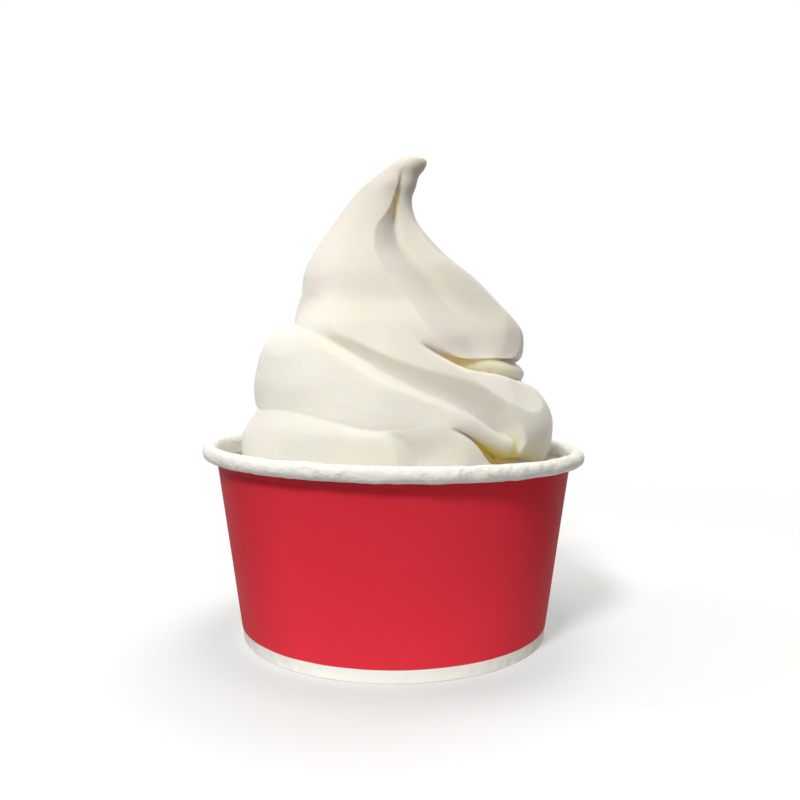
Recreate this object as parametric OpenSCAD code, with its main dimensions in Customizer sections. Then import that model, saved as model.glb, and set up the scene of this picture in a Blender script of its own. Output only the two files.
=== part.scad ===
// Paper sundae cup filled with a swirl of soft serve.
// The origin is at the centre of the base, +Z points up and the front is -Y.
// Sizes are in millimetres and angles in degrees.

/* [Cup] */
// Outer diameter over the rolled rim
rim_d = 92; // [88:1:96]
// Outer diameter of the wall at the base
base_d = 73.6; // [70:0.2:75]
// Height from the base to the top of the rim
cup_h = 46; // [44:1:60]
// Thickness of the paperboard
wall = 0.45; // [0.35:0.05:0.6]

/* [Rim] */
// Diameter of the rolled rim
roll_d = 3.5; // [3:0.1:4]
// How far the board is rolled round, from the wall to its end
roll_sweep = 312; // [270:2:314]

/* [Base] */
// Height of the underside of the bottom panel above the table
recess_h = 6; // [5:0.5:9]
// Radius of the folded corners of the board
fold_r = 0.3; // [0.1:0.05:0.4]
// Room between the layers of board in the hem
hem_gap = 0.05; // [0.03:0.01:0.1]
// Room between the top of the hem and the bottom panel
hem_room = 0.4; // [0.2:0.1:1]

/* [Seam] */
// Width of the lapped side seam
seam_w = 8; // [6:1:12]
// How far the lap stands proud of the wall
seam_step = 0.3; // [0.2:0.05:0.35]

/* [Soft serve] */
// Depth below the top of the rim to which the soft serve touches the wall
fill_depth = 15; // [13:1:20]
// Height of the swirl's tip above the top of the rim
swirl_rise = 69.9; // [64:0.1:76]
// Room between the mouth of the cup and the widest part of the swirl
mouth_room = 3.7; // [3:0.1:6]
// Room between the soft serve and the wall
serve_gap = 0.15; // [0.1:0.05:0.3]
// Depth of the swirl's valleys, as a multiple of the normal depth
valley_scale = 1; // [0.5:0.1:1.2]
// How far the lobes curl down over the valleys, as a share of their depth
curl = 0.25; // [0:0.05:0.35]

/* [Hidden] */

board_colour = [0.95, 0.94, 0.90];
print_colour = [0.78, 0.14, 0.20];
cream_colour = [0.94, 0.92, 0.85];

// Points on each quarter turn of a folded corner, and on the roll
corner_steps = 4;
roll_steps = 36;

// Flat round panel and the layers of the hem
roll_r = roll_d / 2;
roll_x = rim_d / 2 - roll_r;
roll_z = cup_h - roll_r;
base_r = base_d / 2;
panel_top = recess_h + wall;

// The wall's outer face is a line that meets the inner side of the roll
reach_x = roll_x - roll_r + wall - base_r;
wall_tilt = atan(reach_x / roll_z);
wall_slope = tan(wall_tilt);
layer = wall / cos(wall_tilt);
layer_gap = hem_gap / cos(wall_tilt);

// Radius of the wall's outer and inner faces at a height
function wall_out(z) = base_r + wall_slope * z;
function wall_in(z) = wall_out(z) - layer;

// Points along an arc about a centre, ends included
function arc(centre, r, from, to, steps) =
    [for (i = [0:steps]) let (a = from + (to - from) * i / steps)
        centre + r * [cos(a), sin(a)]];

// Swirl's mesh: points round it, rings up it and steps between two path points
columns = 96;
rings = 58;
path_steps = 3;
// Rise from the wall to the foot of the swirl, and from its last ring to the tip
neck_rise = 3;
tip_rise = 0.5;
// How far from its path a valley is looked for, and its greatest share of a radius
valley_reach = 13;
deepest_share = 0.6;
// Height of the ridge on a wide valley's floor, as a share of the valley's depth,
// and the width of floor from which the ridge has its full height
ridge_share = 0.35;
wide_floor = 4.5;

// Left and right edge of the swirl seen from the front, without its valleys:
// height over the rim, left edge, right edge
swirl_edges = [
    [-12.5, -34.5, 35],
    [-6.5, -36, 36.2],
    [-1.5, -36.8, 37.8],
    [4.5, -36.2, 38.8],
    [10.5, -34.6, 37.6],
    [16.5, -33.5, 35.6],
    [22.5, -31.8, 33],
    [28.5, -29, 30.4],
    [34.5, -23.4, 25.2],
    [40.5, -21.9, 19.4],
    [46.5, -19.2, 12.2],
    [52.5, -15.2, 6.8],
    [57, -12, 4.8],
    [60, -9.6, 4.5],
    [62.5, -7.4, 5.4],
    [65, -4.4, 6.2],
    [67.2, -1.7, 7.7],
    [68.8, 0.9, 7.9],
    [69.9, 3.4, 6.2],
];

// A valley's path runs down and to the right round the swirl. Each point holds
// angle from the front, height over the rim, depth, width of the ridge on the
// valley's floor, width of the lobe below and of the lobe above, and how flat the
// side of each of these lobes is, from 0, round, to 1, flat.
front_valley = [
    [10, 65.5, 0.2, 0, 1, 2, 1, 0],
    [26, 63, 1.2, 0, 1, 2.5, 1, 0],
    [38, 60, 2.2, 0, 1.8, 3.5, 1, 0],
    [41, 56.5, 3, 0, 3.2, 4.5, 1, 0],
    [38, 52.5, 4, 0, 5.4, 5.5, 1, 0],
    [33, 49, 4.8, 0, 7.2, 6.5, 1, 0],
    [30, 46, 5.6, 0, 8.6, 7.5, 1, 0.1],
    [29, 42, 6.6, 0, 10, 8.5, 1, 0.3],
    [32, 37, 7.2, 0, 11.4, 9.5, 1, 0.4],
    [37, 31.8, 7.2, 0, 12.4, 10.5, 1, 0.5],
    [43, 27.5, 6.6, 0, 12.8, 11, 1, 0.7],
    [49, 24.2, 5.4, 0, 12.4, 11, 1, 0.8],
    [55, 21.8, 4, 0, 11.4, 10, 1, 0.8],
];
long_valley = [
    [9, 24.2, 0.3, 0, 1, 3, 0, 0],
    [13, 23.2, 1.6, 0.4, 1.3, 3, 0, 0],
    [19, 22.1, 3.2, 1, 1.6, 4, 0, 0],
    [27, 21.2, 5, 2, 2.2, 5, 0, 0],
    [37, 20.8, 6, 2.9, 3, 6, 0, 0],
    [48, 21, 6, 3.6, 4, 7, 0, 0],
    [62, 20.8, 5.6, 4.8, 6, 8, 0, 0],
    [90, 20.2, 5.2, 5.2, 9, 8, 0, 0],
    [135, 17, 5.2, 3.5, 9, 9, 0, 0],
    [180, 14.5, 5, 1, 9, 9, 0, 0],
    [225, 12, 5, 0, 8, 9, 0, 0],
    [262, 9.4, 5.6, 0, 7, 9, 0.5, 0],
    [280, 9.2, 3, 0, 6, 8, 0.7, 0],
    [297, 9.3, 1, 0, 5, 7, 0.7, 0.3],
    [318, 9.6, 0.5, 0, 4, 5, 0.5, 0.3],
    [337, 7.8, 0.6, 0, 3, 4, 0.3, 0.3],
    [350, 6.2, 0.9, 0, 2.4, 4, 0, 0.3],
    [362, 6.6, 0.8, 0, 2, 3, 0, 0.3],
    [371, 8, 0.1, 0, 1.5, 3, 0, 0],
];
back_valley = [
    [-215, 65.5, 0.2, 0, 1, 2, 1, 0],
    [-200, 61.5, 2, 0, 2, 4, 1, 0],
    [-180, 55, 3, 0, 3.5, 5, 1, 0],
    [-160, 49, 4, 0, 5, 7, 1, 0],
    [-140, 43, 5, 0, 6, 8, 1, 0],
    [-120, 35.5, 5, 0, 6, 8, 0.7, 0],
    [-104, 31.6, 5.4, 0, 6, 7, 0.2, 0],
    [-90, 30, 5.6, 0, 5, 5.5, 0, 0.1],
    [-72, 29.2, 4.6, 0, 6, 6, 0, 0.4],
    [-60, 28.6, 2.4, 0, 7, 8, 0.3, 0.8],
    [-46, 27.4, 1.1, 0, 6, 7, 0.4, 0.9],
    [-37, 26.4, 0.8, 0, 4, 5, 0.3, 0.9],
    [-28, 24.7, 1.4, 0, 2, 3, 0.2, 0.9],
    [-15, 21, 2.6, 0, 1.6, 4.2, 0.2, 0.9],
    [-5, 17.6, 3.3, 0, 1.6, 5, 0.2, 0.9],
    [6.5, 14.4, 3.6, 0, 1.6, 5.4, 0.2, 0.9],
    [19.5, 11.2, 3.9, 0, 1.6, 5.8, 0.2, 0.9],
    [25.5, 9.6, 4.2, 0, 1.7, 6.2, 0.2, 0.9],
    [30.5, 7.7, 4.6, 0, 1.8, 6.2, 0.2, 0.9],
    [36, 5.8, 5, 0, 2, 5.6, 0.2, 0.9],
    [41, 4.6, 5.2, 0, 2, 3.6, 0, 0.8],
    [43.5, 3.5, 5.2, 0, 2, 2, 0, 0.5],
    [44, 2.4, 5, 0, 2, 1.5, 0, 0.3],
    [43, 1.4, 5, 0, 2, 1.5, 0, 0],
    [41, 0.7, 4.5, 0, 2, 1.5, 0, 0],
];
tongue_valley = [
    [16.5, 6.6, 0.3, 0, 1, 2, 1, 0],
    [23, 5.2, 3, 0.2, 1.2, 3, 0.6, 0],
    [28, 3.7, 4.2, 0.4, 1.6, 3.5, 0.6, 0],
    [32, 2.4, 4.8, 0.9, 2, 3.5, 0.6, 0],
    [36, 1.2, 5.2, 1.6, 2.2, 3.5, 0.6, 0],
    [42, 0.2, 5.6, 2.6, 3, 3, 0.6, 0],
    [52, -0.8, 6.2, 3, 3.6, 4.5, 1, 0],
    [70, -2.6, 6.5, 1.5, 4, 5, 1, 0],
    [90, -4.8, 5, 0, 5, 6, 1, 0],
    [110, -7, 2.5, 0, 4, 5, 1, 0],
    [130, -9, 0.5, 0, 4, 5, 1, 0],
];
low_valley = [
    [-6, 6.6, 0.3, 0, 1, 3, 1, 0],
    [0.5, 4.4, 1.6, 0, 2.4, 6, 1, 0.5],
    [5, 1, 2.4, 0, 3.4, 9, 1, 1],
    [7.5, -2, 2.4, 0, 4, 10, 1, 1],
    [9, -8, 1, 0, 4, 8, 1, 0],
];
valleys = [front_valley, long_valley, back_valley, tongue_valley, low_valley];

// Scales that fit the tables above to the chosen height and to the cup's mouth
last_edge = swirl_edges[len(swirl_edges) - 1];
height_scale = swirl_rise / last_edge[0];
width_scale = (wall_in(roll_z) - mouth_room) / max([for (e = swirl_edges) e[2]]);

// Smooth curve through the points of a list, split into steps between each two
function blend_point(p0, p1, p2, p3, t) =
    0.5 * (2 * p1 + t * (p2 - p0) + t * t * (2 * p0 - 5 * p1 + 4 * p2 - p3)
    + t * t * t * (3 * p1 - p0 - 3 * p2 + p3));
function smooth_path(p, steps) = let (last = len(p) - 1)
    [for (i = [0:last - 1], k = [0:steps - 1])
        blend_point(p[max(i - 1, 0)], p[i], p[i + 1], p[min(i + 2, last)], k / steps), p[last]];
valley_paths = [for (v = valleys) smooth_path(v, path_steps)];

// Slope of an edge at one of its stations, and its smooth value at a height
function edge_slope(i, col) = let (lo = max(i - 1, 0), hi = min(i + 1, len(swirl_edges) - 1))
    (swirl_edges[hi][col] - swirl_edges[lo][col]) / (swirl_edges[hi][0] - swirl_edges[lo][0]);
function edge_span(h) =
    min(max([0, for (i = [0:len(swirl_edges) - 2]) if (swirl_edges[i][0] <= h) i]), len(swirl_edges) - 2);
function edge_at(h, col) =
    let (i = edge_span(h), a = swirl_edges[i], b = swirl_edges[i + 1], w = b[0] - a[0], t = (h - a[0]) / w,
        t2 = t * t, t3 = t2 * t)
    (2 * t3 - 3 * t2 + 1) * a[col] + (t3 - 2 * t2 + t) * w * edge_slope(i, col)
    + (3 * t2 - 2 * t3) * b[col] + (t3 - t2) * w * edge_slope(i + 1, col);

// One stretch of a valley seen from a point: distance, side and the path's values
function seen_stretch(angle, h, r, a, b) =
    let (turn = 360 * round((a[0] - angle) / 360), arc_mm = r * PI / 180,
        ax = (a[0] - angle - turn) * arc_mm, ah = a[1] - h,
        dx = (b[0] - a[0]) * arc_mm, dh = b[1] - a[1],
        t = min(max(-(ax * dx + ah * dh) / max(dx * dx + dh * dh, 0.0001), 0), 1))
    [norm([ax + t * dx, ah + t * dh]), dh * ax - dx * ah, a + t * (b - a)];

// Share of a valley's depth that is left part of the way up a lobe's side
function lobe_side(u, flat) = u >= 1 ? 0 : flat * (1 - u) + (1 - flat) * (1 - sqrt(1 - pow(1 - u, 2)));

// Depth of the cut and sag of the lobe that a stretch gives at a point. The sag
// is greatest a third of the way over the lobe, where the product below is 1.
function stretch_cut(s) = let (d = s[0], p = s[2], u = min(d / p[5], 1))
    s[1] >= 0 ? [p[2] * lobe_side(u, p[7]), curl * (1 - p[7]) * p[2] * 27 / 4 * u * pow(1 - u, 2)]
    : d < p[3] ? [p[2] * (1 - ridge_share * pow(min(p[3] / wide_floor, 1), 2) * sin(180 * d / p[3])), 0]
    : [p[2] * lobe_side((d - p[3]) / p[4], p[6]), 0];

// Nearest stretch of one valley, as its cut and sag
function valley_cut(angle, h, r, stretches) =
    len(stretches) == 0 ? [0, 0]
    : let (seen = [for (s = stretches) seen_stretch(angle, h, r, s[0], s[1])],
        distances = [for (s = seen) s[0]], nearest = min(distances))
        stretch_cut(seen[search(nearest, distances)[0]]);

// Points of one ring of the swirl at a height over the rim
function swirl_ring(h) =
    let (left = edge_at(h, 1), right = edge_at(h, 2),
        centre = width_scale * (left + right) / 2, r = width_scale * (right - left) / 2,
        near = [for (v = valley_paths) [for (k = [0:len(v) - 2])
            if (min(abs(v[k][1] - h), abs(v[k + 1][1] - h)) < valley_reach) [v[k], v[k + 1]]]])
    [for (j = [0:columns - 1])
        let (angle = 360 * j / columns,
            cuts = [for (stretches = near) valley_cut(angle, h, r, stretches)],
            depth = max([for (c = cuts) c[0]]), sag = max([for (c = cuts) c[1]]),
            cut_r = r - min(depth * valley_scale, deepest_share * r))
        [centre + cut_r * sin(angle), -cut_r * cos(angle), cup_h + height_scale * (h - sag)]];

// Points of a plain ring against the cup's wall
function wall_ring(z) = let (r = wall_in(z) - serve_gap)
    [for (j = [0:columns - 1]) let (angle = 360 * j / columns) [r * sin(angle), -r * cos(angle), z]];

// The soft serve's mesh: rings from the panel to the tip, and a point at each end
fill_h = cup_h - fill_depth;
foot_h = (neck_rise - fill_depth) / height_scale;
top_h = last_edge[0];
serve_rings = concat([wall_ring(panel_top), wall_ring(fill_h)],
    [for (i = [0:rings - 1]) swirl_ring(foot_h + (top_h - foot_h) * i / (rings - 1))]);
tip_x = width_scale * (last_edge[1] + last_edge[2]) / 2;
ring_count = len(serve_rings);
foot_point = ring_count * columns;
tip_point = foot_point + 1;
serve_points = concat([for (ring = serve_rings) each ring],
    [[0, 0, panel_top], [tip_x, 0, cup_h + swirl_rise + tip_rise]]);
serve_faces = concat(
    [for (i = [0:ring_count - 2], j = [0:columns - 1], half = [0, 1])
        let (k = (j + 1) % columns, a = i * columns + j, b = i * columns + k,
            c = a + columns, d = b + columns)
        half == 0 ? [a, c, b] : [b, c, d]],
    [for (j = [0:columns - 1]) [foot_point, j, (j + 1) % columns]],
    [for (j = [0:columns - 1]) let (top = (ring_count - 1) * columns)
        [tip_point, top + (j + 1) % columns, top + j]]);

// Section of the board: outer face, roll, inner face and the hem folded in at the base
module sidewall_section() {
    roll_centre = [roll_x, roll_z];
    roll_start = 180 - wall_tilt;
    hem_in = 3 * layer + 2 * layer_gap;
    hem_top = recess_h - hem_room;
    pocket_z = wall;
    polygon(concat(
        arc([wall_out(fold_r) - fold_r, fold_r], fold_r, -90, -wall_tilt, corner_steps),
        arc(roll_centre, roll_r - wall, roll_start, roll_start - roll_sweep, roll_steps),
        arc(roll_centre, roll_r, roll_start - roll_sweep, roll_start, roll_steps),
        [[wall_in(pocket_z), pocket_z],
        [wall_in(pocket_z) - layer - 2 * layer_gap, pocket_z],
        [wall_out(hem_top) - hem_in + layer, hem_top],
        [wall_out(hem_top) - hem_in, hem_top]],
        arc([wall_out(fold_r) - hem_in + fold_r, fold_r], fold_r, 180 - wall_tilt, 270, corner_steps)
    ));
}

// Lap of the blank's end over its start, up the back of the wall
module seam_section() {
    seam_top = roll_z - roll_r - seam_step;
    polygon([
        [wall_out(fold_r) - layer / 2, fold_r], [wall_out(fold_r) + seam_step, fold_r],
        [wall_out(seam_top) + seam_step, seam_top], [wall_out(seam_top) - layer / 2, seam_top]
    ]);
}

module sidewall() {
    seam_angle = seam_w / wall_out(cup_h / 2) * 180 / PI;
    color(print_colour) union() {
        rotate_extrude($fn = 96) sidewall_section();
        rotate([0, 0, 90 - seam_angle / 2]) rotate_extrude(angle = seam_angle, $fn = 96) seam_section();
    }
}

// Round panel with its edge turned down into the hem
module bottom_disc_section() {
    rim_r = wall_in(panel_top) - layer_gap;
    skirt_foot = wall + hem_gap;
    foot_out = wall_in(skirt_foot) - layer_gap;
    polygon(concat(
        [[0, recess_h], [wall_in(recess_h) - layer_gap - layer, recess_h],
        [foot_out - layer, skirt_foot], [foot_out, skirt_foot]],
        arc([rim_r - fold_r, panel_top - fold_r], fold_r, -wall_tilt, 90, corner_steps),
        [[0, panel_top]]
    ));
}

module bottom_disc() {
    color(board_colour) rotate_extrude($fn = 96) bottom_disc_section();
}

module soft_serve() {
    color(cream_colour) polyhedron(points = serve_points, faces = serve_faces, convexity = 10);
}

sidewall();
bottom_disc();
soft_serve();
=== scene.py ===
# Paper sundae cup with a swirl of soft serve: printed board, plain board, cream,
# a pale floor, soft studio light and a camera at the photograph's angle.
# Names that end in _MM or _mm, the tables of the swirl and the shapes made from them
# are in millimetres until they become a mesh. Other sizes and places are in metres.
# Angles in the tables are in degrees, round the cup from the front, -Y, towards +X.
import math

import bpy
import numpy as np
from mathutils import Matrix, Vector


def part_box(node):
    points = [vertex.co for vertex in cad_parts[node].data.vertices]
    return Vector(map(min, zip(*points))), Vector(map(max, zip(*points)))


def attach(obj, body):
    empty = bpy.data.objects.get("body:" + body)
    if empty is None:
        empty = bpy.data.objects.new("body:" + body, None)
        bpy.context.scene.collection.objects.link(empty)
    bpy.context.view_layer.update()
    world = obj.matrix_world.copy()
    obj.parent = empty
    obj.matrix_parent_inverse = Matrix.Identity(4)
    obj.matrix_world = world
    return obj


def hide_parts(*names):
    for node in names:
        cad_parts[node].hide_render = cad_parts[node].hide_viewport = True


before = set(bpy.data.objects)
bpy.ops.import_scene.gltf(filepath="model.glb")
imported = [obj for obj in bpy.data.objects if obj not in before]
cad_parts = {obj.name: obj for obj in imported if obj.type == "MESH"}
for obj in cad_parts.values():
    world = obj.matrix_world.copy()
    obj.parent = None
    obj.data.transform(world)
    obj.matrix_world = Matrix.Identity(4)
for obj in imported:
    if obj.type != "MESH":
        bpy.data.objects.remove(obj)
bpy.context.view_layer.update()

MM = 0.001

# Cup, as the CAD model has it
RIM_R_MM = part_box("sidewall")[1].x / MM
CUP_H_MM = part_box("sidewall")[1].z / MM
BASE_R_MM = 36.8
BOARD_MM = 0.45
ROLL_R_MM = 1.75
ROLL_SWEEP = 312
RECESS_MM = 6
FOLD_MM = 0.3
HEM_GAP_MM = 0.05
HEM_ROOM_MM = 0.4
SEAM_W_MM = 8
SEAM_STEP_MM = 0.3

ROLL_X_MM = RIM_R_MM - ROLL_R_MM
ROLL_Z_MM = CUP_H_MM - ROLL_R_MM
WALL_TILT = math.atan((ROLL_X_MM - ROLL_R_MM + BOARD_MM - BASE_R_MM) / ROLL_Z_MM)
LAYER_MM = BOARD_MM / math.cos(WALL_TILT)
LAYER_GAP_MM = HEM_GAP_MM / math.cos(WALL_TILT)

# Radius at which the seam's width is measured, and width of the slope at its edges
SEAM_R_MM = 40
SEAM_EDGE_MM = 0.25

# What the CAD model doesn't have: the white foot under the print, and a rim that sits
# a little higher on the left, as the board has some give
PRINT_FOOT_MM = 3.1
RIM_LEAN = 0.018

# Unevenness of the surfaces, the heights where it starts or ends and the distances
# over which it fades there
RIM_LUMP_MM = 0.08
RIM_DIMPLE_MM = 0.045
RIM_FROM_MM = 41
RIM_FADE_MM = 2
WALL_WAVE_MM = 0.05
HEM_CREASE_MM = 0.10
HEM_CREASE_TOP_MM = 3.4
HEM_FADE_MM = 2
FOLD_FADE_MM = 0.5
CREAM_WAVE_MM = 0.16
CREAM_FADE_MM = 6

# Soft serve, as the CAD model has it
SERVE_FOOT_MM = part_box("soft_serve")[0].z / MM
SERVE_TOP_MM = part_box("soft_serve")[1].z / MM
FILL_MM = 31
SERVE_GAP_MM = 0.15
NECK_RISE_MM = 3
TIP_RISE_MM = 0.5
CURL = 0.25
RIDGE_SHARE = 0.35
WIDE_FLOOR_MM = 4.5
DEEPEST_SHARE = 0.6

# Left and right edge of the swirl from the front, without its valleys: height over
# the rim, left edge, right edge. The left edge is up to 0.4 mm further in than in the
# CAD model at 28.5 and 34.5
SWIRL_EDGES = [
    (-12.5, -34.5, 35), (-6.5, -36, 36.2), (-1.5, -36.8, 37.8), (4.5, -36.2, 38.8),
    (10.5, -34.6, 37.6), (16.5, -33.5, 35.6), (22.5, -31.8, 33), (28.5, -28.6, 30.4),
    (34.5, -23.2, 25.2), (40.5, -21.9, 19.4), (46.5, -19.2, 12.2), (52.5, -15.2, 6.8),
    (57, -12, 4.8), (60, -9.6, 4.5), (62.5, -7.4, 5.4), (65, -4.4, 6.2),
    (67.2, -1.7, 7.7), (68.8, 0.9, 7.9), (69.9, 3.4, 6.2),
]

# Each point of a valley's path: angle, height over the rim, depth, width of the
# ridge on its floor, width of the lobe below and of the lobe above, and how flat
# the side of each of these lobes is, from 0, round, to 1, flat. The back valley has
# narrower lobes above it from -28 to 6.5 degrees than in the CAD model
FRONT_VALLEY = [
    (10, 65.5, 0.2, 0, 1, 2, 1, 0), (26, 63, 1.2, 0, 1, 2.5, 1, 0),
    (38, 60, 2.2, 0, 1.8, 3.5, 1, 0), (41, 56.5, 3, 0, 3.2, 4.5, 1, 0),
    (38, 52.5, 4, 0, 5.4, 5.5, 1, 0), (33, 49, 4.8, 0, 7.2, 6.5, 1, 0),
    (30, 46, 5.6, 0, 8.6, 7.5, 1, 0.1), (29, 42, 6.6, 0, 10, 8.5, 1, 0.3),
    (32, 37, 7.2, 0, 11.4, 9.5, 1, 0.4), (37, 31.8, 7.2, 0, 12.4, 10.5, 1, 0.5),
    (43, 27.5, 6.6, 0, 12.8, 11, 1, 0.7), (49, 24.2, 5.4, 0, 12.4, 11, 1, 0.8),
    (55, 21.8, 4, 0, 11.4, 10, 1, 0.8),
]
LONG_VALLEY = [
    (9, 24.2, 0.3, 0, 1, 3, 0, 0), (13, 23.2, 1.6, 0.4, 1.3, 3, 0, 0),
    (19, 22.1, 3.2, 1, 1.6, 4, 0, 0), (27, 21.2, 5, 2, 2.2, 5, 0, 0),
    (37, 20.8, 6, 2.9, 3, 6, 0, 0), (48, 21, 6, 3.6, 4, 7, 0, 0),
    (62, 20.8, 5.6, 4.8, 6, 8, 0, 0), (90, 20.2, 5.2, 5.2, 9, 8, 0, 0),
    (135, 17, 5.2, 3.5, 9, 9, 0, 0), (180, 14.5, 5, 1, 9, 9, 0, 0),
    (225, 12, 5, 0, 8, 9, 0, 0), (262, 9.4, 5.6, 0, 7, 9, 0.5, 0),
    (280, 9.2, 3, 0, 6, 8, 0.7, 0), (297, 9.3, 1, 0, 5, 7, 0.7, 0.3),
    (318, 9.6, 0.5, 0, 4, 5, 0.5, 0.3), (337, 7.8, 0.6, 0, 3, 4, 0.3, 0.3),
    (350, 6.2, 0.9, 0, 2.4, 4, 0, 0.3), (362, 6.6, 0.8, 0, 2, 3, 0, 0.3),
    (371, 8, 0.1, 0, 1.5, 3, 0, 0),
]
BACK_VALLEY = [
    (-215, 65.5, 0.2, 0, 1, 2, 1, 0), (-200, 61.5, 2, 0, 2, 4, 1, 0),
    (-180, 55, 3, 0, 3.5, 5, 1, 0), (-160, 49, 4, 0, 5, 7, 1, 0),
    (-140, 43, 5, 0, 6, 8, 1, 0), (-120, 35.5, 5, 0, 6, 8, 0.7, 0),
    (-104, 31.6, 5.4, 0, 6, 7, 0.2, 0), (-90, 30, 5.6, 0, 5, 5.5, 0, 0.1),
    (-72, 29.2, 4.6, 0, 6, 6, 0, 0.4), (-60, 28.6, 2.4, 0, 7, 8, 0.3, 0.8),
    (-46, 27.4, 1.1, 0, 6, 7, 0.4, 0.9), (-37, 26.4, 0.8, 0, 4, 5, 0.3, 0.9),
    (-28, 24.7, 1.4, 0, 2, 2.4, 0.2, 0.9), (-15, 21, 2.6, 0, 1.6, 3.1, 0.2, 0.9),
    (-5, 17.6, 3.3, 0, 1.6, 3.9, 0.2, 0.9), (6.5, 14.4, 3.6, 0, 1.6, 4.7, 0.2, 0.9),
    (19.5, 11.2, 3.9, 0, 1.6, 5.8, 0.2, 0.9), (25.5, 9.6, 4.2, 0, 1.7, 6.2, 0.2, 0.9),
    (30.5, 7.7, 4.6, 0, 1.8, 6.2, 0.2, 0.9), (36, 5.8, 5, 0, 2, 5.6, 0.2, 0.9),
    (41, 4.6, 5.2, 0, 2, 3.6, 0, 0.8), (43.5, 3.5, 5.2, 0, 2, 2, 0, 0.5),
    (44, 2.4, 5, 0, 2, 1.5, 0, 0.3), (43, 1.4, 5, 0, 2, 1.5, 0, 0),
    (41, 0.7, 4.5, 0, 2, 1.5, 0, 0),
]
TONGUE_VALLEY = [
    (16.5, 6.6, 0.3, 0, 1, 2, 1, 0), (23, 5.2, 3, 0.2, 1.2, 3, 0.6, 0),
    (28, 3.7, 4.2, 0.4, 1.6, 3.5, 0.6, 0), (32, 2.4, 4.8, 0.9, 2, 3.5, 0.6, 0),
    (36, 1.2, 5.2, 1.6, 2.2, 3.5, 0.6, 0), (42, 0.2, 5.6, 2.6, 3, 3, 0.6, 0),
    (52, -0.8, 6.2, 3, 3.6, 4.5, 1, 0), (70, -2.6, 6.5, 1.5, 4, 5, 1, 0),
    (90, -4.8, 5, 0, 5, 6, 1, 0), (110, -7, 2.5, 0, 4, 5, 1, 0),
    (130, -9, 0.5, 0, 4, 5, 1, 0),
]
LOW_VALLEY = [
    (-6, 6.6, 0.3, 0, 1, 3, 1, 0), (0.5, 4.4, 1.6, 0, 2.4, 6, 1, 0.5),
    (5, 1, 2.4, 0, 3.4, 9, 1, 1), (7.5, -2, 2.4, 0, 4, 10, 1, 1),
    (9, -8, 1, 0, 4, 8, 1, 0),
]
VALLEYS = [FRONT_VALLEY, LONG_VALLEY, BACK_VALLEY, TONGUE_VALLEY, LOW_VALLEY]

# The front valley's floor is soft and its left lip is crisp, both under a height over
# the rim, and they fade in over the same distance
SOFT_UNDER_MM = 48
SOFT_FLOOR_MM = 1.6
LIP_UNDER_MM = 56
FRONT_LIP = 1.5
FADE_MM = 8

# Makes the sag of a lobe's side, u (1 - u) squared, 1 at its peak
SAG_SCALE = 27 / 4

# Depth from which a valley is a full crease, and how far the crease spreads, in the mask of the
# painted glow
CREASE_DEPTH_MM = 2
CREASE_REACH_MM = 12

# Places where the creases get a painted gold glow for light that passes through the cream:
# angle, height over the rim, reach along the angle in degrees, reach in height and strength
PAINTED_GLOW_PLACES = [
    (38, 58.5, 9, 4, 0.45), (32, 20, 18, 3, 0.5), (60, 19, 14, 3, 0.25),
    (31, 0.5, 9, 2.6, 0.9), (44, 0.5, 12, 3, 0.5), (50, -1.5, 18, 3.6, 1),
    (-27, 24.5, 8, 2, 0.25), (2, 6.4, 6, 1.2, 0.3),
]

# Streaks in the cream's UV map: change along a ribbon for each degree, change across
# it for each millimetre, and the ribbon's fall in millimetres for each degree
STREAK_ALONG = 0.03
STREAK_ACROSS = 1.1
STREAK_FALL = 0.11

# Mesh of the swirl
COLUMNS = 384
RINGS = 236
PATH_STEPS = 8

# Mesh of the cup's wall
WALL_COLUMNS = 540
ROLL_STEPS = 44

# Colours of the board, of its ink and of the cream. A pair is mixed by soft noise
BOARD_WHITE = ((0.95, 0.94, 0.89), (0.97, 0.965, 0.92))
BOARD_FIBRE = (0.90, 0.89, 0.83)
# Painted shade that the white foot takes on at a glancing angle
BOARD_GLANCING_SHADE = (0.62, 0.61, 0.58)
INK_RED = ((0.76, 0.032, 0.052), (0.81, 0.037, 0.060))
INK_SPECKLE = (0.80, 0.07, 0.09)
# Painted shade that the ink takes on at a glancing angle
INK_GLANCING_SHADE = (0.25, 0.010, 0.016)
INK_BOUNCED = (0.22, 0.20, 0.20)
# Painted shade for the swirl's upper right, then the cream's own colour
CREAM_PAINTED_SHADE = ((0.750, 0.715, 0.640), (0.770, 0.742, 0.675))
CREAM_LOWER = ((0.945, 0.899, 0.822), (0.960, 0.918, 0.852))
# Painted glow in the cream's creases, for light that passes through it
CREAM_PAINTED_GLOW = (0.93, 0.79, 0.30)

# Where the looks change: heights at which the rim's pits start and the foot's painted
# shade ends, how far the print's edge wanders and how soft it is, and the heights and
# places across between which the cream gets its painted shade on the upper right
PITS_FROM = (0.0415, 0.0425)
FOOT_SHADE_TO = (0.003, 0.006)
PRINT_WANDER = 0.00025
PRINT_EDGE = 0.00012
PAINTED_SHADE_HEIGHT = (0.058, 0.084)
PAINTED_SHADE_ACROSS = (-0.024, -0.004)

# Floor: its paint as the eye sees it and its paint for the light that it throws back,
# each away from the cup and at its foot, where the seen paint is painted shade, and the
# distances from the cup's axis over which the painted shade at the foot, the thrown light
# and the white glow change
FLOOR_SEEN_AND_SHADE = ((0.96, 0.97, 0.985), (0.78, 0.79, 0.80))
FLOOR_BOUNCE = ((0.08, 0.08, 0.08), (0.85, 0.85, 0.85))
FLOOR_HALF = 6
CONTACT_SHADE_REACH = (0.036, 0.058)
BOUNCE_REACH = (0.045, 0.11)
GLOW_REACH = (0.05, 0.36)
GLOW_NEAR = 0.16

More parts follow.
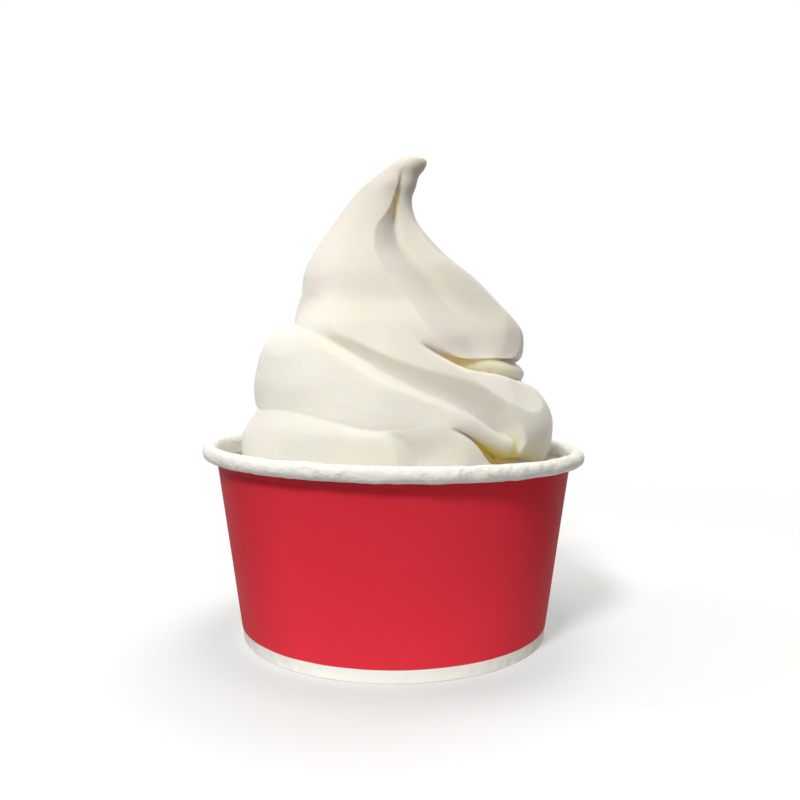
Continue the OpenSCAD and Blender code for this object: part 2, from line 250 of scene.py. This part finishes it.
# Light: a world that is brighter above than below and darker at the sides, and lamps
# that aim at the cup's middle, each with its place, size, power and colour
AMBIENT = 0.40
AMBIENT_SIDES = 0.4
AMBIENT_SIDES_FROM = 0.3
AMBIENT_BELOW_ABOVE = (0.5, 1.9)
AMBIENT_COLOUR = (1, 0.962, 0.90)
CUP_MIDDLE = (0, 0, 0.05)
LAMPS = [
    ("key", (-0.29, -0.695, 0.73), 0.20, 6.0, (1, 0.985, 0.965)),
    ("side", (-0.90, 0.10, 0.75), 0.5, 1.8, (1, 0.985, 0.965)),
    ("top", (0.30, 0.50, 0.95), 0.7, 2.6, (1, 0.985, 0.95)),
    ("front", (0.60, -0.72, 0.20), 0.4, 0.40, (1, 0.965, 0.90)),
]

# The photograph's camera: in front of the cup's axis, just above the rim
CAMERA_PLACE = (0, -0.202, 0.0665)
CAMERA_DOWN = 2.8
IMAGE_W = 800
FOCAL_PX = 820
AXIS_PX = 393.5
SENSOR_MM = 36


# Shapes

def wall_out(z_mm):
    """Radius of the wall's outer face at a height."""
    return BASE_R_MM + math.tan(WALL_TILT) * z_mm


def wall_in(z_mm):
    """Radius of the wall's inner face at a height."""
    return wall_out(z_mm) - LAYER_MM


def smooth_path(points, steps):
    """Points of a smooth curve through a path, with steps between each two."""
    p = np.array(points, float)
    last = len(p) - 1
    out = []
    for i in range(last):
        p0, p1, p2, p3 = p[max(i - 1, 0)], p[i], p[i + 1], p[min(i + 2, last)]
        for k in range(steps):
            t = k / steps
            out.append(0.5 * (2 * p1 + t * (p2 - p0) + t * t * (2 * p0 - 5 * p1 + 4 * p2 - p3)
                              + t ** 3 * (3 * p1 - p0 - 3 * p2 + p3)))
    out.append(p[last])
    return out


def edge_at(h, column):
    """Smooth value of one of the swirl's two edges at heights over the rim."""
    table = np.array(SWIRL_EDGES, float)
    z, x = table[:, 0], table[:, column]
    last = len(z) - 1
    low = np.maximum(np.arange(last + 1) - 1, 0)
    high = np.minimum(np.arange(last + 1) + 1, last)
    slope = (x[high] - x[low]) / (z[high] - z[low])
    i = np.clip(np.searchsorted(z, h, side="right") - 1, 0, last - 1)
    w = z[i + 1] - z[i]
    t = (h - z[i]) / w
    return ((2 * t ** 3 - 3 * t ** 2 + 1) * x[i] + (t ** 3 - 2 * t ** 2 + t) * w * slope[i]
            + (3 * t ** 2 - 2 * t ** 3) * x[i + 1] + (t ** 3 - t ** 2) * w * slope[i + 1])


def lobe_side(u, flat, lip=1):
    """Share of a valley's depth that is left part of the way up a lobe's side. A lip
    over 1 makes the upper edge of a flat side crisper."""
    u = np.clip(u, 0, 1)
    return flat * (1 - u ** lip) + (1 - flat) * (1 - np.sqrt(np.maximum(0, 1 - (1 - u) ** 2)))


def valley_cut(path, angle, h, r, soft_mm, lip):
    """Cut, sag and distance of the nearest stretch of a valley at each point. A soft
    floor is rounded where the two sides meet."""
    points = smooth_path(path, PATH_STEPS)
    near = np.full(h.shape, np.inf)
    cut = np.zeros_like(h)
    sag = np.zeros_like(h)
    arc_mm = r * math.pi / 180
    for a, b in zip(points, points[1:]):
        turn = 360 * np.round((a[0] - angle) / 360)
        ax, ah = (a[0] - angle - turn) * arc_mm, a[1] - h
        dx, dh = (b[0] - a[0]) * arc_mm, b[1] - a[1]
        t = np.clip(-(ax * dx + ah * dh) / np.maximum(dx * dx + dh * dh, 1e-4), 0, 1)
        d = np.hypot(np.hypot(ax + t * dx, ah + t * dh), soft_mm) - soft_mm
        side = dh * ax - dx * ah
        here = (a[k] + t * (b[k] - a[k]) for k in range(2, 8))
        depth, ridge, low_w, high_w, low_flat, high_flat = here
        u = np.clip(d / high_w, 0, 1)
        above = depth * lobe_side(u, high_flat)
        swell = RIDGE_SHARE * np.minimum(ridge / WIDE_FLOOR_MM, 1) ** 2
        on_ridge = depth * (1 - swell * np.sin(math.pi * np.clip(d / np.maximum(ridge, 1e-3), 0, 1)))
        below = np.where(d < ridge, on_ridge, depth * lobe_side((d - ridge) / low_w, low_flat, lip))
        curl = CURL * (1 - high_flat) * depth * SAG_SCALE * u * (1 - u) ** 2
        here_sag = np.where(side < 0, 0, curl)
        nearer = d < near
        near = np.where(nearer, d, near)
        cut = np.where(nearer, np.where(side < 0, below, above), cut)
        sag = np.where(nearer, here_sag, sag)
    return cut, sag, near


def new_piece(name, verts, faces, material):
    """A mesh object from points in metres, in the frame of the CAD model."""
    mesh = bpy.data.meshes.new(name)
    mesh.from_pydata([tuple(v) for v in verts], [], faces)
    mesh.validate()
    mesh.polygons.foreach_set("use_smooth", [True] * len(mesh.polygons))
    mesh.materials.append(material)
    piece = bpy.data.objects.new(name, mesh)
    bpy.context.scene.collection.objects.link(piece)
    return piece


# Materials

def new_material(name):
    """A material, its node tree and its Principled shader."""
    material = bpy.data.materials.new(name)
    material.use_nodes = True
    tree = material.node_tree
    shader = next(n for n in tree.nodes if n.type == "BSDF_PRINCIPLED")
    return material, tree, shader


def noise(tree, vector, scale, detail=3.0, rough=0.5):
    """Smooth noise at coordinates, as a socket."""
    node = tree.nodes.new("ShaderNodeTexNoise")
    node.inputs["Scale"].default_value = scale
    node.inputs["Detail"].default_value = detail
    node.inputs["Roughness"].default_value = rough
    tree.links.new(vector, node.inputs["Vector"])
    return node.outputs["Fac"]


def ramp(tree, value, low, high, out_low=0.0, out_high=1.0, smooth=False):
    """Value mapped from one range to another and held at its ends."""
    node = tree.nodes.new("ShaderNodeMapRange")
    node.clamp = True
    node.interpolation_type = "SMOOTHSTEP" if smooth else "LINEAR"
    sockets = ("From Min", "From Max", "To Min", "To Max")
    for socket, number in zip(sockets, (low, high, out_low, out_high)):
        node.inputs[socket].default_value = number
    tree.links.new(value, node.inputs["Value"])
    return node.outputs["Result"]


def math_node(tree, operation, a, b):
    """Result of an operation on two sockets or numbers."""
    node = tree.nodes.new("ShaderNodeMath")
    node.operation = operation
    for socket, value in zip(node.inputs, (a, b)):
        if isinstance(value, (int, float)):
            socket.default_value = value
        else:
            tree.links.new(value, socket)
    return node.outputs["Value"]


def mix_colour(tree, factor, a, b):
    """Mix of two colours, each a socket or three numbers, by a factor's socket."""
    node = tree.nodes.new("ShaderNodeMix")
    node.data_type = "RGBA"
    tree.links.new(factor, node.inputs[0])
    for socket, value in ((node.inputs[6], a), (node.inputs[7], b)):
        if isinstance(value, tuple):
            socket.default_value = (*value, 1)
        else:
            tree.links.new(value, socket)
    return node.outputs[2]


def bump(tree, height, distance, strength=1.0, normal=None):
    """Normal of a surface with a height on it, over another normal if one is given."""
    node = tree.nodes.new("ShaderNodeBump")
    node.inputs["Distance"].default_value = distance
    node.inputs["Strength"].default_value = strength
    tree.links.new(height, node.inputs["Height"])
    if normal is not None:
        tree.links.new(normal, node.inputs["Normal"])
    return node.outputs["Normal"]


def attribute(tree, name):
    """A mesh attribute's value, as a socket."""
    node = tree.nodes.new("ShaderNodeAttribute")
    node.attribute_name = name
    return node.outputs["Fac"]


def split_place(tree, kind):
    """Coordinates of a kind, and their X and Z."""
    place = tree.nodes.new("ShaderNodeTexCoord").outputs[kind]
    split = tree.nodes.new("ShaderNodeSeparateXYZ")
    tree.links.new(place, split.inputs["Vector"])
    return place, split.outputs["X"], split.outputs["Z"]


def board_material(name, printed):
    """Coated paperboard. Printed board is red above its white foot where the mesh says so.
    The ink and the white foot get painted shade at a glancing angle, the ink throws no
    red on the floor, and bare board lets a little light through."""
    material, tree, shader = new_material(name)
    place, _, height = split_place(tree, "Object")
    fibre = noise(tree, place, 900, 4, 0.6)
    cloud = noise(tree, place, 55, 2)
    white = mix_colour(tree, cloud, *BOARD_WHITE)
    colour = mix_colour(tree, ramp(tree, fibre, 0.35, 0.7, 0, 0.25), white, BOARD_FIBRE)
    if printed:
        wander = math_node(tree, "MULTIPLY", noise(tree, place, 120, 2), PRINT_WANDER)
        line = math_node(tree, "ADD", height, wander)
        foot = PRINT_FOOT_MM * MM
        over_foot = ramp(tree, line, foot, foot + PRINT_EDGE)
        inked = math_node(tree, "MULTIPLY", over_foot, attribute(tree, "printed"))
        red = mix_colour(tree, cloud, *INK_RED)
        speckle = ramp(tree, noise(tree, place, 2600, 2), 0.62, 0.75, 0, 0.10)
        red = mix_colour(tree, speckle, red, INK_SPECKLE)
        # Painted shade: the white foot and the ink get darker towards the cup's edges, where the
        # view glances
        glancing = tree.nodes.new("ShaderNodeLayerWeight").outputs["Facing"]
        on_foot = ramp(tree, height, *FOOT_SHADE_TO, 1, 0)
        painted_foot_shade = math_node(tree, "MULTIPLY", ramp(tree, glancing, 0.25, 0.8), on_foot)
        colour = mix_colour(tree, painted_foot_shade, colour, BOARD_GLANCING_SHADE)
        red = mix_colour(tree, ramp(tree, glancing, 0.3, 1.0, 0, 0.75), red, INK_GLANCING_SHADE)
        bounced = tree.nodes.new("ShaderNodeLightPath").outputs["Is Diffuse Ray"]
        red = mix_colour(tree, bounced, red, INK_BOUNCED)
        colour = mix_colour(tree, inked, colour, red)
        bare = ramp(tree, inked, 0, 1, 0.1, 0)
        tree.links.new(bare, shader.inputs["Subsurface Weight"])
        shader.inputs["Subsurface Radius"].default_value = (1.0, 0.95, 0.85)
        shader.inputs["Subsurface Scale"].default_value = 0.0008
    tree.links.new(colour, shader.inputs["Base Color"])
    tree.links.new(ramp(tree, cloud, 0.3, 0.7, 0.50, 0.60), shader.inputs["Roughness"])
    shader.inputs["Specular IOR Level"].default_value = 0.05
    ripple = bump(tree, noise(tree, place, 140, 3), 0.00008, 0.5)
    on_rim = ramp(tree, height, *PITS_FROM)
    pits = math_node(tree, "MULTIPLY", noise(tree, place, 330, 4, 0.6), on_rim)
    ripple = bump(tree, pits, 0.0012, 0.8, ripple)
    tree.links.new(bump(tree, fibre, 0.00002, 0.5, ripple), shader.inputs["Normal"])
    return material


def cream_material():
    """Soft serve: pale cream that light enters, with a painted gold glow in its creases
    and painted shade on its upper right, and an icy skin."""
    material, tree, shader = new_material("cream")
    place, across, height = split_place(tree, "Object")
    crease_glow = attribute(tree, "crease_glow")
    cloud = noise(tree, place, 60, 3)
    # Painted shade: the upper right of the swirl gets a darker cream colour
    upper = mix_colour(tree, cloud, *CREAM_PAINTED_SHADE)
    lower = mix_colour(tree, cloud, *CREAM_LOWER)
    high = ramp(tree, height, *PAINTED_SHADE_HEIGHT, 0, 1, True)
    right = ramp(tree, across, *PAINTED_SHADE_ACROSS, 0, 1, True)
    cream = mix_colour(tree, math_node(tree, "MULTIPLY", high, right), lower, upper)
    # Painted glow: the creases are painted gold; light under the skin also really spreads further
    # there
    glow = ramp(tree, crease_glow, 0.05, 0.7)
    with_painted_glow = mix_colour(tree, glow, cream, CREAM_PAINTED_GLOW)
    tree.links.new(with_painted_glow, shader.inputs["Base Color"])
    icy = noise(tree, place, 350, 3)
    tree.links.new(ramp(tree, icy, 0.3, 0.7, 0.42, 0.56), shader.inputs["Roughness"])
    shader.inputs["Specular IOR Level"].default_value = 0.35
    shader.inputs["Subsurface Weight"].default_value = 0.8
    shader.inputs["Subsurface Radius"].default_value = (1.0, 0.75, 0.40)
    tree.links.new(ramp(tree, glow, 0, 1, 0.0022, 0.013), shader.inputs["Subsurface Scale"])
    shader.inputs["IOR"].default_value = 1.35
    ribbon = tree.nodes.new("ShaderNodeUVMap").outputs["UV"]
    streaks = bump(tree, noise(tree, ribbon, 1, 3, 0.55), 0.00012, 0.35)
    grain = bump(tree, noise(tree, place, 1500, 3), 0.00003, 0.35, streaks)
    tree.links.new(grain, shader.inputs["Normal"])
    return material


# Pieces

def hum(place, seed, waves, shortest, longest):
    """Smooth random values at points, as a sum of seeded waves, mostly from -1 to 1."""
    rng = np.random.default_rng(seed)
    total = np.zeros(place.shape[:-1])
    for _ in range(waves):
        direction = rng.normal(size=3)
        direction /= np.linalg.norm(direction)
        length = rng.uniform(shortest, longest)
        total += np.sin(place @ direction * 2 * math.pi / length + rng.uniform(0, 2 * math.pi))
    return total / math.sqrt(waves)


def grid_faces(rows, columns):
    """Quads between rings of points, where each ring closes on itself."""
    i, j = np.meshgrid(np.arange(rows - 1), np.arange(columns), indexing="ij")
    k = (j + 1) % columns
    low, high = i * columns, (i + 1) * columns
    return np.stack([low + j, low + k, high + k, high + j], -1).reshape(-1, 4).tolist()


def make_swirl(material):
    """The soft serve: the CAD model's swirl on a finer mesh, with soft unevenness and
    values that say where its creases get a painted gold glow."""
    top = SWIRL_EDGES[-1][0]
    foot = NECK_RISE_MM + FILL_MM - CUP_H_MM
    height_scale = (SERVE_TOP_MM - TIP_RISE_MM - CUP_H_MM) / top
    h = np.repeat(np.linspace(foot / height_scale, top, RINGS)[:, None], COLUMNS, 1)
    angle = np.repeat((np.arange(COLUMNS) * 360 / COLUMNS)[None, :], RINGS, 0)
    left, right = edge_at(h, 1), edge_at(h, 2)
    centre, r = (left + right) / 2, (right - left) / 2
    cut, sag, crease_glow = np.zeros_like(h), np.zeros_like(h), np.zeros_like(h)
    for path in VALLEYS:
        front = path is FRONT_VALLEY
        soft_mm = SOFT_FLOOR_MM * np.clip((SOFT_UNDER_MM - h) / FADE_MM, 0, 1) * front
        lip = 1 + (FRONT_LIP - 1) * np.clip((LIP_UNDER_MM - h) / FADE_MM, 0, 1) * front
        here_cut, here_sag, near = valley_cut(path, angle, h, r, soft_mm, lip)
        cut = np.maximum(cut, here_cut)
        sag = np.maximum(sag, here_sag)
        here_crease = np.clip(here_cut / CREASE_DEPTH_MM, 0, 1) * np.exp(-near / CREASE_REACH_MM)
        crease_glow = np.maximum(crease_glow, here_crease)
    # Painted glow: a mask of where the creases are painted gold
    painted_glow = np.zeros_like(h)
    for at_angle, at_h, reach, reach_h, strength in PAINTED_GLOW_PLACES:
        away = ((angle - at_angle + 180) % 360 - 180) / reach
        painted_glow += strength * np.exp(-away ** 2 - ((h - at_h) / reach_h) ** 2)
    crease_glow = crease_glow * np.clip(painted_glow, 0, 1)
    r_cut = r - np.minimum(cut, DEEPEST_SHARE * r)
    turn = np.radians(angle)
    body = np.stack([centre + r_cut * np.sin(turn), -r_cut * np.cos(turn),
                     CUP_H_MM + height_scale * (h - sag)], -1)
    outward = np.stack([np.sin(turn), -np.cos(turn), np.zeros_like(turn)], -1)
    wave = CREAM_WAVE_MM * np.clip((h - foot) / CREAM_FADE_MM, 0, 1)
    body += outward * (wave * hum(body, 5, 12, 9, 22))[..., None]
    plain = [wall_ring(z) for z in (SERVE_FOOT_MM, FILL_MM)]
    rings = np.concatenate([np.array(plain), body])
    tip_x = (SWIRL_EDGES[-1][1] + SWIRL_EDGES[-1][2]) / 2
    ends = [[0, 0, SERVE_FOOT_MM], [tip_x, 0, SERVE_TOP_MM]]
    verts = np.concatenate([rings.reshape(-1, 3), ends]) * MM
    rows = len(rings)
    foot_point, tip_point = rows * COLUMNS, rows * COLUMNS + 1
    faces = grid_faces(rows, COLUMNS)
    faces += [(foot_point, (j + 1) % COLUMNS, j) for j in range(COLUMNS)]
    last = (rows - 1) * COLUMNS
    faces += [(tip_point, last + j, last + (j + 1) % COLUMNS) for j in range(COLUMNS)]
    piece = new_piece("soft_serve_swirl", verts, faces, material)
    values = np.zeros(len(verts))
    values[2 * COLUMNS:rows * COLUMNS] = np.clip(crease_glow, 0, 1).ravel()
    piece.data.attributes.new("crease_glow", "FLOAT", "POINT").data.foreach_set("value", values)
    ribbon_uv(piece, angle, h, rows)
    return piece


def wall_ring(z_mm):
    """Points of a plain ring of soft serve against the wall."""
    r = wall_in(z_mm) - SERVE_GAP_MM
    turn = np.radians(np.arange(COLUMNS) * 360 / COLUMNS)
    return np.stack([r * np.sin(turn), -r * np.cos(turn), np.full(COLUMNS, float(z_mm))], -1)


def ribbon_uv(piece, angle, h, rows):
    """A UV map that runs along the swirl's ribbons, long ways and across them."""
    along = np.zeros((rows, COLUMNS))
    across = np.zeros((rows, COLUMNS))
    along[2:] = STREAK_ALONG * angle
    across[2:] = STREAK_ACROSS * (h + STREAK_FALL * angle)
    uv = np.stack([along.ravel(), across.ravel()], -1)
    uv = np.concatenate([uv, [[0, 0], [0, 0]]])
    layer = piece.data.uv_layers.new(name="ribbon")
    corners = np.empty(len(piece.data.loops), int)
    piece.data.loops.foreach_get("vertex_index", corners)
    layer.data.foreach_set("uv", uv[corners].ravel())


def arc_points(cx, cz, r, start, end, steps):
    """Points of an arc as (radius, height), between two angles in degrees."""
    turns = np.radians(np.linspace(start, end, steps + 1))
    return [(cx + r * math.cos(t), cz + r * math.sin(t)) for t in turns]


def wall_profile():
    """Closed outline of the board's section as (radius, height), and which of its
    edges carry the print."""
    tilt = math.degrees(WALL_TILT)
    roll_start = 180 - tilt
    roll_end = roll_start - ROLL_SWEEP
    hem_in = 3 * LAYER_MM + 2 * LAYER_GAP_MM
    hem_top = RECESS_MM - HEM_ROOM_MM
    out = arc_points(wall_out(FOLD_MM) - FOLD_MM, FOLD_MM, FOLD_MM, -90, -tilt, 5)
    heights = [0.6, 0.9, 1.2, 1.5, 1.8, 2.1, 2.4, 2.7, 3.0, 3.2, 3.6, 4.4]
    heights += [*range(6, 42, 2), 42.2]
    out += [(wall_out(z), z) for z in heights]
    outside = len(out)
    inside_r = ROLL_R_MM - BOARD_MM
    out += arc_points(ROLL_X_MM, ROLL_Z_MM, inside_r, roll_start, roll_end, ROLL_STEPS)
    printed = len(out) - 1
    out += arc_points(ROLL_X_MM, ROLL_Z_MM, ROLL_R_MM, roll_end, roll_start, ROLL_STEPS)
    out += [(wall_in(z), z) for z in (*range(42, 6, -3), 4, 2, BOARD_MM)]
    out += [(wall_in(BOARD_MM) - LAYER_MM - 2 * LAYER_GAP_MM, BOARD_MM)]
    hem_r = wall_out(hem_top) - hem_in
    out += [(hem_r + LAYER_MM, hem_top), (hem_r, hem_top)]
    out += arc_points(wall_out(FOLD_MM) - hem_in + FOLD_MM, FOLD_MM, FOLD_MM, 180 - tilt, 270, 4)
    return np.array(out), printed, outside


def make_wall(material):
    """The cup's wall: rolled rim, lapped seam at the back and a hem with fine creases."""
    profile, printed, outside = wall_profile()
    rows = len(profile)
    angle = np.repeat((np.arange(WALL_COLUMNS) * 360 / WALL_COLUMNS)[None, :], rows, 0)
    turn = np.radians(angle)
    r = np.repeat(profile[:, :1], WALL_COLUMNS, 1)
    z = np.repeat(profile[:, 1:], WALL_COLUMNS, 1)
    row = np.repeat(np.arange(rows)[:, None], WALL_COLUMNS, 1)
    from_seam = np.abs(angle - 180) * math.pi / 180 * SEAM_R_MM
    lap = np.clip((SEAM_W_MM / 2 - from_seam) / SEAM_EDGE_MM + 1, 0, 1)
    on_outside = (row < outside) & (z > FOLD_MM / 2)
    r = r + SEAM_STEP_MM * lap * on_outside
    place = np.stack([r * np.sin(turn), -r * np.cos(turn), z], -1)
    rim = np.clip((z - RIM_FROM_MM) / RIM_FADE_MM, 0, 1)
    lumps = RIM_LUMP_MM * hum(place, 3, 10, 5, 16)
    lumps = rim * (lumps + RIM_DIMPLE_MM * hum(place, 4, 18, 2.2, 5))
    from_roll = np.stack([r - ROLL_X_MM, z - ROLL_Z_MM])
    outward = from_roll / np.maximum(np.hypot(*from_roll), 0.1)
    r = r + lumps * outward[0]
    z = z + lumps * outward[1]
    r = r + WALL_WAVE_MM * hum(place, 7, 6, 40, 90)
    dent = np.clip((HEM_CREASE_TOP_MM - z) / HEM_FADE_MM, 0, 1)
    dent = dent * np.clip(z / FOLD_FADE_MM, 0, 1)
    r = r - HEM_CREASE_MM * dent * np.abs(hum(place, 11, 14, 2.2, 7)) * (row < outside)
    lean = RIM_LEAN * (z / CUP_H_MM) ** 2
    verts = np.stack([r * np.sin(turn), -r * np.cos(turn), z - lean * r * np.sin(turn)], -1)
    faces = grid_faces(rows, WALL_COLUMNS)
    last = (rows - 1) * WALL_COLUMNS
    for j in range(WALL_COLUMNS):
        k = (j + 1) % WALL_COLUMNS
        faces.append((last + j, last + k, k, j))
    piece = new_piece("printed_wall", verts.reshape(-1, 3) * MM, faces, material)
    inked = np.zeros(len(piece.data.polygons))
    inked[:printed * WALL_COLUMNS] = 1
    piece.data.attributes.new("printed", "FLOAT", "FACE").data.foreach_set("value", inked)
    return piece


# Stage

def seen_rays(tree):
    """1 on rays that show the background, straight, in a reflection or through glass."""
    path = tree.nodes.new("ShaderNodeLightPath").outputs
    indirect = math_node(tree, "MAXIMUM", path["Is Glossy Ray"], path["Is Transmission Ray"])
    return math_node(tree, "MAXIMUM", path["Is Camera Ray"], indirect)


def make_floor():
    """A pale floor that keeps the shadows, has painted shade round the cup's foot and
    fades to plain white far from the cup. It throws light up on the cup's foot only, as a
    small sheet of paper under it would."""
    floor = bpy.data.meshes.new("floor")
    corners = [(x * FLOOR_HALF, y * FLOOR_HALF, 0) for x, y in ((-1, -1), (1, -1), (1, 1), (-1, 1))]
    floor.from_pydata(corners, [], [(0, 1, 2, 3)])
    material, tree, shader = new_material("floor")
    shader.inputs["Roughness"].default_value = 0.6
    shader.inputs["Specular IOR Level"].default_value = 0.2
    place = tree.nodes.new("ShaderNodeTexCoord").outputs["Object"]
    length = tree.nodes.new("ShaderNodeVectorMath")
    length.operation = "LENGTH"
    tree.links.new(place, length.inputs[0])
    away = length.outputs["Value"]
    shown = seen_rays(tree)
    bounce = mix_colour(tree, ramp(tree, away, *BOUNCE_REACH, 1, 0, True), *FLOOR_BOUNCE)
    # Painted shade: the floor as seen gets darker round the cup's foot
    pale = mix_colour(tree, ramp(tree, away, *CONTACT_SHADE_REACH, 1, 0, True), *FLOOR_SEEN_AND_SHADE)
    tree.links.new(mix_colour(tree, shown, bounce, pale), shader.inputs["Base Color"])
    white = tree.nodes.new("ShaderNodeEmission")
    white.inputs["Strength"].default_value = 1.0
    mix = tree.nodes.new("ShaderNodeMixShader")
    glow = ramp(tree, away, *GLOW_REACH, GLOW_NEAR, 1, True)
    tree.links.new(math_node(tree, "MULTIPLY", glow, shown), mix.inputs["Fac"])
    tree.links.new(shader.outputs["BSDF"], mix.inputs[1])
    tree.links.new(white.outputs["Emission"], mix.inputs[2])
    output = next(n for n in tree.nodes if n.type == "OUTPUT_MATERIAL")
    tree.links.new(mix.outputs["Shader"], output.inputs["Surface"])
    floor.materials.append(material)
    piece = bpy.data.objects.new("floor", floor)
    bpy.context.scene.collection.objects.link(piece)


def make_world():
    """White behind the object, and an ambient light on it, mostly from above."""
    world = bpy.data.worlds.new("studio")
    world.use_nodes = True
    tree = world.node_tree
    background = next(n for n in tree.nodes if n.type == "BACKGROUND")
    shown = seen_rays(tree)
    colour = mix_colour(tree, shown, AMBIENT_COLOUR, (1, 1, 1))
    tree.links.new(colour, background.inputs["Color"])
    _, x, z = split_place(tree, "Generated")
    sideways = math_node(tree, "ABSOLUTE", x, 0)
    at_side = AMBIENT_SIDES * AMBIENT
    from_side = ramp(tree, sideways, AMBIENT_SIDES_FROM, 1.0, AMBIENT, at_side)
    from_above = ramp(tree, z, 0, 1, *AMBIENT_BELOW_ABOVE)
    ambient = math_node(tree, "MULTIPLY", from_side, from_above)
    strength = math_node(tree, "MAXIMUM", ambient, shown)
    tree.links.new(strength, background.inputs["Strength"])
    bpy.context.scene.world = world


def make_light(name, place, size, power, colour):
    """A round lamp that aims at the cup's middle."""
    data = bpy.data.lights.new(name, "AREA")
    data.shape = "DISK"
    data.size = size
    data.energy = power
    data.color = colour
    light = bpy.data.objects.new(name, data)
    light.location = place
    aim = Vector(CUP_MIDDLE) - Vector(place)
    light.rotation_mode = "QUATERNION"
    light.rotation_quaternion = aim.to_track_quat("-Z", "Y")
    bpy.context.scene.collection.objects.link(light)


def make_camera():
    """The photograph's camera, with the cup's axis a little left of the middle."""
    data = bpy.data.cameras.new("camera")
    data.sensor_width = SENSOR_MM
    data.lens = FOCAL_PX / IMAGE_W * data.sensor_width
    data.shift_x = (IMAGE_W / 2 - AXIS_PX) / IMAGE_W
    data.clip_start = 0.01
    camera = bpy.data.objects.new("camera", data)
    camera.location = CAMERA_PLACE
    camera.rotation_euler = (math.radians(90 - CAMERA_DOWN), 0, 0)
    bpy.context.scene.collection.objects.link(camera)
    bpy.context.scene.camera = camera


make_camera()
make_floor()
make_world()
for lamp in LAMPS:
    make_light(*lamp)

printed_board = board_material("printed_board", True)
plain_board = board_material("plain_board", False)

wall_piece = make_wall(printed_board)
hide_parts("sidewall")
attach(wall_piece, "root")

swirl_piece = make_swirl(cream_material())
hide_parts("soft_serve")
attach(swirl_piece, "root")

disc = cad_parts["bottom_disc"]
disc.data.materials[0] = plain_board

scene = bpy.context.scene
scene.view_settings.view_transform = "Standard"
